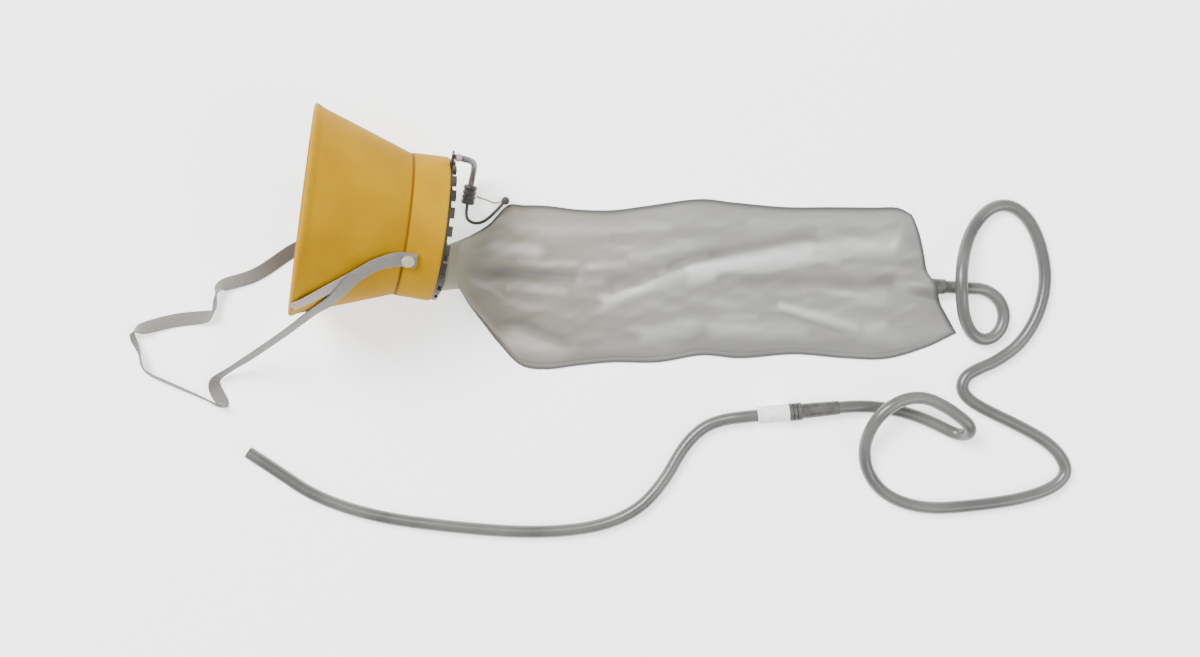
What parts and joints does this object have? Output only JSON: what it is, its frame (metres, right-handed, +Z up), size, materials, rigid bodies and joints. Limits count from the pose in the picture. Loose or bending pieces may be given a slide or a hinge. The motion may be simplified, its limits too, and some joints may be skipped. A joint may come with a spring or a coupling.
{
  "type": "passenger oxygen mask",
  "caption": "Cone-shaped silicone oxygen mask with valve plate, reservoir bag, supply hose with flow indicator, elastic head strap and pull lanyard.",
  "frame": {"origin": "on the surface it lies on, under the middle of the box round the mask and bag", "axes": "+Z up from the surface, +X along the bag from the mask towards the hose end, +Y away from the hose and indicator"},
  "size_m": [0.526, 0.2347, 0.1088],
  "materials": {
    "yellow_silicone": "satin",
    "pale_plastic": "satin",
    "black_plastic": "satin",
    "clear_silicone": "satin",
    "spring_wire": "bright",
    "bag_film": "glossy film",
    "grey_plastic": "satin",
    "white_plastic": "milky",
    "green_plastic": "satin",
    "dark_rubber": "matt",
    "hose_vinyl": "clear grey vinyl",
    "elastic_webbing": "woven",
    "stud_plastic": "translucent",
    "cord_rubber": "satin",
    "dark_cord": "woven",
    "pale_filament": "clear"
  },
  "bodies": {
    "mask": {"facepiece": "yellow_silicone", "valve_plate": "pale_plastic", "valve_guard": "black_plastic", "exhalation_flap": "clear_silicone", "inhalation_flap": "clear_silicone", "ambient_spring": "spring_wire", "bag_clamp": "black_plastic", "reservoir_bag": "bag_film", "bag_fitting": "grey_plastic", "indicator_barrel": "white_plastic", "indicator_sleeve": "dark_rubber", "indicator_spring": "spring_wire", "hose_upper": "hose_vinyl", "hose_lower": "hose_vinyl", "elastic_strap": "elastic_webbing", "strap_stud_near": "stud_plastic", "stud_washer_near": "stud_plastic", "strap_stud_far": "stud_plastic", "stud_washer_far": "stud_plastic", "lanyard_knob": "cord_rubber", "lanyard_cord": "cord_rubber", "lanyard_ferrule": "dark_rubber", "lanyard_loop": "dark_cord", "lanyard_filament": "pale_filament", "bag_tie": "pale_filament"},
    "ambient_valve": {"ambient_valve": "clear_silicone", "ambient_valve_cap": "black_plastic"},
    "indicator_float": {"indicator_float": "green_plastic"}
  },
  "joints": [
    {"name": "ambient_valve_slide", "type": "slide", "parent": "mask", "child": "ambient_valve", "axis": [-0.9635, 0.1234, 0.2376], "range_m": [0, 0.0025], "stiffness_N_per_m": 50, "springref_m": -0.002, "deforming": ["ambient_spring"]},
    {"name": "indicator_float_slide", "type": "slide", "parent": "mask", "child": "indicator_float", "axis": [0.9952, 0.0976, 0], "range_m": [0, 0.005], "stiffness_N_per_m": 20, "springref_m": -0.005, "deforming": ["indicator_spring"]}
  ]
}
